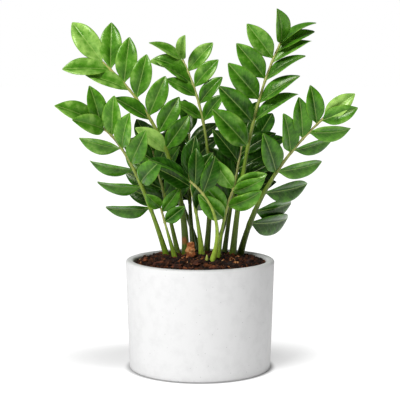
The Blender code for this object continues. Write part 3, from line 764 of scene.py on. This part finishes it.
def bladeShape(base, along, normal, length, grow=0.0, first=0):
    # a plain leaflet from the given station on, grown on every side
    across = normal.cross(along)
    half = blade["width"] * length / 2
    points = []
    for share, width in blade["stations"][first:]:
        middle = base + along * (length * share)
        middle += normal * (blade["arch"] * length * 4 * share * (1 - share))
        side = max(half * width, blade["neck"] * mm / 2) + grow
        lift = blade["fold"] * half * width
        thick = blade["thick"] * mm / 2 + grow
        points += [middle - across * side + normal * lift, middle - normal * thick,
                   middle + across * side + normal * lift, middle + normal * thick]
    last = len(points) - 4
    tip = [(last + i, last + (i + 1) % 4, last + 4) for i in range(4)]
    return points + [base + along * (length + grow)], wallFaces(len(points) // 4, 4) + tip


def leafletSlots(frond):
    # every leaflet from the tip down: place, side, splay, twist, length and nod
    side, splay, length, nod, twist = frond["end"]
    slots = [(1.0, side, splay, twist, length, nod)]
    lowest = min(frond["left"] + frond["right"])
    for side, places in ((-1, frond["left"]), (1, frond["right"])):
        hand = 0 if side < 0 else 1
        splays = frond["splay"][hand]
        twist = frond.get("twist", (0, 0))[hand]
        for place in places:
            share = (place - lowest) / (1 - lowest)
            splay = splays[0] + (splays[1] - splays[0]) * share
            length = frond["length"][0] + (frond["length"][1] - frond["length"][0]) * share
            slots.append((place, side, splay, twist, length, 0.0))
    return sorted(slots, key=lambda item: -item[0])


def leafletPose(frond, line, slot, swing, lift, shorten):
    place, side, splay, twist, length, nod = slot
    along = line.tangent(place)
    face, rise = math.radians(frond["face"]), math.radians(blade["rise"])
    front = Vector((math.sin(face) * math.cos(rise), -math.cos(face) * math.cos(rise), math.sin(rise)))
    upper = (front - along * front.dot(along)).normalized()
    right = along.cross(upper)
    vee = math.radians(frond["vee"] + lift)
    splay = math.radians(splay + swing)
    out = right * (side * math.cos(vee)) + upper * math.sin(vee)
    direction = along * math.cos(splay) + out * math.sin(splay)
    normal = out.cross(along) * side
    turn = math.radians(side * twist)
    normal = normal * math.cos(turn) + direction.cross(normal) * math.sin(turn)
    nod = math.radians(nod)
    nodding = direction * math.cos(nod) + normal * math.sin(nod)
    normal = normal * math.cos(nod) - direction * math.sin(nod)
    return line.point(place), nodding, normal, length * mm * shorten


def turnsToTry():
    # the smallest first; a lift counts half, because it shows less
    steps = range(-blade["turnMost"], blade["turnMost"] + 1, blade["turnStep"])
    pairs = [(swing, lift) for swing in steps for lift in steps]
    return sorted(pairs, key=lambda pair: (2 * abs(pair[0]) + abs(pair[1]), pair))


def settleLeaflet(frond, line, slot, others, own, turns):
    # turn a leaflet, and shorten it where that isn't enough, until it is clear of its neighbours
    for shorten in blade["shorter"]:
        for swing, lift in turns:
            pose = leafletPose(frond, line, slot, swing, lift, shorten)
            whole = BVHTree.FromPolygons(*bladeShape(*pose, blade["clearance"] * mm, 1))
            if whole.overlap(others):
                continue
            near = BVHTree.FromPolygons(*bladeShape(*pose, pot["gap"] * mm, 1))
            if not any(near.overlap(leaflet) for leaflet in own):
                return pose, near
    return pose, near


def joinedTree(shapes):
    points, faces = [], []
    for shapePoints, shapeFaces in shapes:
        start = len(points)
        points += shapePoints
        faces += [tuple(start + i for i in face) for face in shapeFaces]
    return BVHTree.FromPolygons(points, faces)


def placeLeaflets():
    # where every leaflet of every frond comes to lie
    solids = [name for name in frame["nodes"] if name in ("pot", "soil", "shoot_tip") or "bark_chip" in name]
    fixed = []
    for name in solids:
        mesh = frame["nodes"][name].data
        fixed.append(([v.co.copy() for v in mesh.vertices], [tuple(f.vertices) for f in mesh.polygons]))
    lines = {frond["name"]: FrondLine(frond) for frond in fronds}
    stems = {frond["name"]: stemShapes(frond, lines[frond["name"]]) for frond in fronds}
    turns = turnsToTry()
    placed, poses = [], {}
    for frond in fronds:
        mine = frond["name"]
        others = [shape for name, shape in placed if name != mine]
        for name, (bare, leafy) in stems.items():
            others.append(bare)
            if name != mine:
                others.append(leafy)
        tree = joinedTree(fixed + others)
        own, poses[mine] = [], []
        for slot in leafletSlots(frond):
            pose, near = settleLeaflet(frond, lines[mine], slot, tree, own, turns)
            own.append(near)
            placed.append((mine, bladeShape(*pose)))
            poses[mine].append((slot[0], slot[1], pose))
    return lines, poses


lines, leafletPoses = placeLeaflets()
print("leaflets placed:", sum(len(poses) for poses in leafletPoses.values()))


# one leaflet is modelled, a unit long with its stalk end at the origin, and copied to every place

leaf = dict(rows=16, columns=6, thick=0.012, reach=1.03, width=0.475, fold=0.34, crease=0.012, crown=0.5,
            archVary=(-0.012, 0.03), droop=0.05, sickle=0.03, twist=16, wave=0.009, waves=8,
            waveShift=1.5, toneVary=0.09, seed=23,
            outline=((0, 0.05), (0.03, 0.07), (0.07, 0.2), (0.14, 0.5), (0.23, 0.79), (0.33, 0.95),
                     (0.43, 1.01), (0.54, 1.0), (0.65, 0.92), (0.75, 0.77), (0.84, 0.56),
                     (0.91, 0.32), (0.96, 0.12), (1.0, 0.0)))


def leafHalfWidth(share):
    places, widths = zip(*leaf["outline"])
    return np.interp(share, places, widths) * leaf["width"] / 2


def makeLeafModel():
    deselectAll()
    bpy.ops.mesh.primitive_grid_add(
        x_subdivisions=leaf["rows"], y_subdivisions=leaf["columns"], size=1, location=(0.5, 0, 0))
    item = nameIt(bpy.context.object, "leafModel")
    settleTransform(item)
    rows = sorted({round(v.co.x, 4) for v in item.data.vertices})
    startEdit(item)
    for row in rows[:-1]:
        pick(item, "VERT", lambda co: abs(co.x - row) < 0.001)
        width = float(leafHalfWidth(row)) * 2
        bpy.ops.transform.resize(value=(1, width, 1))
    pick(item, "VERT", lambda co: co.x > rows[-1] - 0.001)
    bpy.ops.mesh.merge(type="CENTER")
    endEdit()
    layer = item.data.uv_layers.active or item.data.uv_layers.new(name="UVMap")
    layer.name = "UVMap"
    for loop in item.data.loops:
        place = item.data.vertices[loop.vertex_index].co
        layer.data[loop.index].uv = (place.x, 0.5 + place.y)
    item.data.materials.append(materials["leaf"])
    item.data.materials.append(materials["leafUnder"])
    applyModifier(item, "SOLIDIFY", {
        "thickness": leaf["thick"], "offset": -1, "material_offset": 1, "material_offset_rim": 1})
    applyModifier(item, "SUBSURF", {"levels": 1, "render_levels": 1})
    makeActive(item)
    bpy.ops.object.shade_smooth()
    return item


def leafMargin(points):
    # 0 on the midrib and 1 on the leaflet's edge
    return np.clip(np.abs(points[:, 1]) / np.maximum(leafHalfWidth(points[:, 0]), 0.004), 0, 1)


def bendLeaf(points, chance):
    # the fold along the midrib, the arch, and what makes each leaflet its own
    along = points[:, 0] * leaf["reach"]
    across = points[:, 1]
    half = leafHalfWidth(points[:, 0])
    edge = leafMargin(points)
    arch = blade["arch"] + chance.uniform(*leaf["archVary"])
    droop = chance.uniform(0.0, leaf["droop"])
    sickle = chance.uniform(-leaf["sickle"], leaf["sickle"])
    twist = math.radians(chance.uniform(-leaf["twist"], leaf["twist"]))
    wavePhase = chance.uniform(0, 6.28)
    fold = leaf["fold"] * (np.sqrt(across**2 + leaf["crease"] ** 2) - leaf["crease"])
    crown = leaf["crown"] * half * edge * (1 - edge)
    wave = np.sin(leaf["waves"] * along + wavePhase + leaf["waveShift"] * np.sign(across))
    wave = leaf["wave"] * wave * edge**2
    height = points[:, 2] + arch * 4 * along * (1 - along) + fold + crown + wave - droop * along**3
    across = across + sickle * along**2
    angle = twist * along
    turnedAcross = across * np.cos(angle) - (height - arch) * np.sin(angle)
    height = height + across * np.sin(angle)
    return np.stack([along, turnedAcross, height], axis=1)


def placeLeaf(model, modelPoints, pose, tone, chance):
    base, along, normal, length = pose
    across = normal.cross(along)
    points = bendLeaf(modelPoints, chance) * length
    matrix = np.array([along, across, normal])
    item = copyOf(model)
    setPoints(item, points @ matrix + np.array(base))
    for name, value in (("tone", tone), ("margin", leafMargin(modelPoints)), ("tan", 0.0), ("scar", 0.0)):
        setValue(item, name, value)
    return item


def makeStem(name, line, shares, extra, frond, lead=()):
    # a round tube along the frond, with the thickness that it has there
    places = [*lead, *(line.point(share) for share in shares)]
    radii = [line.radius(0.0)] * len(lead) + [line.radius(share) + extra(share) for share in shares]
    item = makeTube(name, places, radii, 5)
    # tone and tan change along the frond
    middles = np.array([line.point(share) for share in shares])
    nearest = np.argmin(((pointsOf(item)[:, None, :] - middles[None]) ** 2).sum(axis=2), axis=1)
    share = np.array(shares)[nearest]
    first, last = frond["stalkTone"]
    setValue(item, "tone", first + (last - first) * share)
    setValue(item, "tan", np.clip((share - stalk["tanFrom"]) * stalk["tanRise"], 0, stalk["tanMost"]))
    scar = np.zeros(len(item.data.vertices))
    if frond["name"] == scarMark["frond"]:
        facing = (pointsOf(item) - middles[nearest]) @ np.array(scarMark["facing"]) / line.radius(0.1)
        scar = np.clip(1.5 - np.abs(share - scarMark["place"]) / scarMark["spread"], 0, 1)
        scar = scar * np.clip(facing * 3 - 1.6, 0, scarMark["most"])
    setValue(item, "scar", scar)
    item.data.materials.append(materials["stalk"])
    return item


def makeFrond(frond, model, modelPoints):
    line = lines[frond["name"]]
    top = leafyFrom(frond)
    crown = Vector((line.foot.x, line.foot.y, (pot["height"] - soil["crownDrop"] + pot["gap"]) * mm))
    title = titled(frond["name"])
    shares = [top * i / stalk["bareRows"] for i in range(stalk["bareRows"] + 1)]
    bare = makeStem("stalk" + title, line, shares, lambda share: (
        line.thick * stalk["swell"] * math.exp(-share / stalk["swellReach"])), frond, lead=[crown])
    young = frond.get("slot") == "young_leaf"
    finishPiece(bare, None, "young_stalk" if young else "stalk", "stalk_" + frond["name"])
    knots = [place for place, side, pose in leafletPoses[frond["name"]]]

    def knotAt(share):
        nearest = max(math.exp(-((share - k) / stalk["knotReach"]) ** 2) for k in knots)
        return stalk["stout"] * mm + stalk["knot"] * mm * nearest

    steps = max(int((1 - top) / stalk["step"]), stalk["fewestRows"])
    shares = [top + 0.001 + (0.999 - top) * i / steps for i in range(steps + 1)]
    rachis = makeStem("frond" + title, line, shares, knotAt, frond)
    chance = random.Random(leaf["seed"] + fronds.index(frond))
    pieces = [rachis]
    # painted shade: the inner and back fronds' leaflets take darker tones; the tone rises towards each
    # frond's tip
    lowToneWithShade, highToneWithShade = frond["leafTone"]
    for place, side, pose in leafletPoses[frond["name"]]:
        share = (place - top) / (1 - top)
        tone = lowToneWithShade + (highToneWithShade - lowToneWithShade) * share + chance.uniform(-leaf["toneVary"], leaf["toneVary"])
        tone = frond.get("oddLeaf", {}).get((side, place), tone)
        pieces.append(placeLeaf(model, modelPoints, pose, tone, chance))
    whole = joinAll(pieces, "frond" + title)
    finishPiece(whole, None, frond.get("slot", "leaf"), "leaves_" + frond["name"])
    low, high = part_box("leaves_" + frond["name"])
    points = pointsOf(whole)
    off = max(np.abs(points.min(0) - np.array(low)).max(), np.abs(points.max(0) - np.array(high)).max())
    print("frond", frond["name"], "differs from its solid's box by", round(off / mm, 1), "mm")


leafModel = makeLeafModel()
leafPoints = pointsOf(leafModel)
for frond in fronds:
    makeFrond(frond, leafModel, leafPoints)
bpy.data.objects.remove(leafModel, do_unlink=True)
print("fronds done:", len(fronds))


# bark chips, grown from the solid chips: layered and rough

chip = dict(cuts=4, rough=1.5, roughMm=3.6, tones=(0.0, 0.4), standRough=2.6, standMm=6.0, standTone=0.7,
            layer=0.35, layerMm=0.55, inward=0.3, seed=5)


def makeChip(node, tone, rough, roughMm):
    item = startFromSolid(node, "barkChip" + titled(node.replace("bark_chip_", "")))
    bpy.ops.mesh.subdivide(number_cuts=chip["cuts"], smoothness=0.0)
    endEdit()
    centre = sum(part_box(node), Vector()) / 2
    for vert in item.data.vertices:
        place = vert.co / (roughMm * mm)
        push = noise.noise(place) + 0.5 * noise.noise(place * 2.3)
        layer = chip["layer"] * math.sin(vert.co.z / (chip["layerMm"] * mm) + 2 * noise.noise(place * 0.7))
        vert.co += (vert.co - centre).normalized() * (push + layer - chip["inward"]) * rough * mm
    makeActive(item)
    bpy.ops.object.shade_smooth_by_angle(angle=math.radians(30))
    setValue(item, "tone", tone)
    return finishPiece(item, materials["bark"], "bark", node)


chipChance = random.Random(chip["seed"])
for node in sorted(name for name in frame["nodes"] if name.startswith("bark_chip_")):
    if node.endswith("standing"):
        makeChip(node, chip["standTone"], chip["standRough"], chip["standMm"])
    else:
        makeChip(node, chipChance.uniform(*chip["tones"]), chip["rough"], chip["roughMm"])
print("bark chips done")


# loose crumbs and flakes over the heap

litter = (
    dict(name="soilCrumbs", model="crumb", look="soil", count=1300, sizes=(1.2, 4.6), seed=31,
         tones=(-0.15, 0.5), tilt=1.5, sink=0.25),
    dict(name="barkFines", model="crumb", look="bark", count=600, sizes=(0.5, 1.3), seed=53,
         tones=(0.1, 0.9), tilt=1.5, sink=0.5),
    dict(name="barkFlakes", model="flake", look="bark", count=420, sizes=(2.6, 9.0), seed=47,
         tones=(-0.1, 0.66), tilt=0.6, sink=0.12),
)
spread = dict(skew=1.6, wallRoom=0.6, stalkRoom=0.45)
crumb = dict(vary=(0.7, 1.15), seeds=(1, 2, 3))
flake = dict(shape=(1.0, 0.5, 0.22), side=(0.88, 1.12), corner=(0.72, 0.95), curl=0.12, seeds=(4, 5, 6, 7))
feet = [(lines[f["name"]].foot.x, lines[f["name"]].foot.y, f["thick"] * mm) for f in fronds]


def makeCrumbModel(seed):
    deselectAll()
    bpy.ops.mesh.primitive_ico_sphere_add(subdivisions=1, radius=1.0, location=(0, 0, 0))
    item = nameIt(bpy.context.object, "crumbModel")
    chance = random.Random(seed)
    points = pointsOf(item)
    for point in points:
        point *= chance.uniform(*crumb["vary"])
    setPoints(item, points)
    return item


def makeFlakeModel(seed):
    deselectAll()
    bpy.ops.mesh.primitive_cube_add(size=1.0, location=(0, 0, 0))
    item = nameIt(bpy.context.object, "flakeModel")
    startEdit(item, "SELECT")
    bpy.ops.transform.resize(value=flake["shape"])
    bpy.ops.mesh.subdivide(number_cuts=1)
    endEdit()
    chance = random.Random(seed)
    points = pointsOf(item)
    for point in points:
        corner = abs(point[0]) > 0.4 and abs(point[1]) > 0.2
        point *= chance.uniform(*flake["corner" if corner else "side"])
        point[2] += flake["curl"] * point[0] ** 2
    setPoints(item, points)
    return item


def scatter(kind, models):
    chance = random.Random(kind["seed"])
    low, high = kind["sizes"]
    items = []
    while len(items) < kind["count"]:
        radius = soilRadius * math.sqrt(chance.random())
        angle = 2 * math.pi * chance.random()
        size = low + (high - low) * chance.random() ** spread["skew"]
        x, y = radius * math.cos(angle), radius * math.sin(angle)
        turn = [chance.gauss(0, kind["tilt"]), chance.gauss(0, kind["tilt"]), chance.uniform(0, 2 * math.pi)]
        tone = chance.uniform(*kind["tones"])
        if radius > soilRadius - size * spread["wallRoom"] * mm:
            continue
        if any(math.hypot(x - fx, y - fy) < r + size * spread["stalkRoom"] * mm for fx, fy, r in feet):
            continue
        model = models[len(items) % len(models)]
        place = Vector((x, y, lumpySoil(x, y) + kind["sink"] * size * mm))
        matrix = (Matrix.Translation(place) @ Matrix.Rotation(turn[2], 4, "Z")
                  @ Matrix.Rotation(turn[1], 4, "Y") @ Matrix.Rotation(turn[0], 4, "X")
                  @ Matrix.Scale(size * mm, 4))
        item = copyOf(model)
        item.data.transform(matrix)
        setValue(item, "tone", tone)
        items.append(item)
    piece = joinAll(items, kind["name"])
    return finishPiece(piece, materials[kind["look"]], kind["look"])


models = dict(crumb=[makeCrumbModel(seed) for seed in crumb["seeds"]],
              flake=[makeFlakeModel(seed) for seed in flake["seeds"]])
for kind in litter:
    scatter(kind, models[kind["model"]])
for model in models["crumb"] + models["flake"]:
    bpy.data.objects.remove(model, do_unlink=True)
print("litter done")


# shoot tip, a strand of root, and the rhizomes

def makeShoot():
    item = startFromSolid("shoot_tip", "shootBud")
    endEdit()
    applyModifier(item, "SUBSURF", {"levels": 2, "render_levels": 2})
    bpy.ops.object.shade_smooth()
    for name, value in (("tone", 1.0), ("tan", 0.35), ("scar", 0.0)):
        setValue(item, name, value)
    return finishPiece(item, materials["stalk"], "shoot", "shoot_tip")


strand = dict(start=(42, -8), end=(53, -46), arch=7, sunk=1.5, swerve=5, steps=24, thick=0.55, seed=3)


def makeStrand():
    # a loose end of root that arches out of the soil and back into it
    start, end = Vector(strand["start"]) * mm, Vector(strand["end"]) * mm
    places, radii = [], []
    for i in range(strand["steps"] + 1):
        share = i / strand["steps"]
        spot = start.lerp(end, share)
        swerve = noise.noise(Vector((share * 3, strand["seed"], 0))) * strand["swerve"] * mm
        arch = strand["arch"] * math.sin(share * math.pi) - strand["sunk"]
        places.append((spot.x + swerve, spot.y, soilHeight(spot.x, spot.y) + arch * mm))
        radii.append(strand["thick"] * mm * (1.0 - 0.5 * share))
    item = makeTube("rootStrand", places, radii, 2)
    setValue(item, "tone", 0.75)
    return finishPiece(item, materials["bark"], "bark")


makeShoot()
makeStrand()
for node in ("rhizome_left", "rhizome_front", "rhizome_back", "rhizome_right"):
    cadNode = frame["nodes"][node]
    cadNode.data.materials.clear()
    cadNode.data.materials.append(materials["tuber"])
print("shoot and rhizomes done")
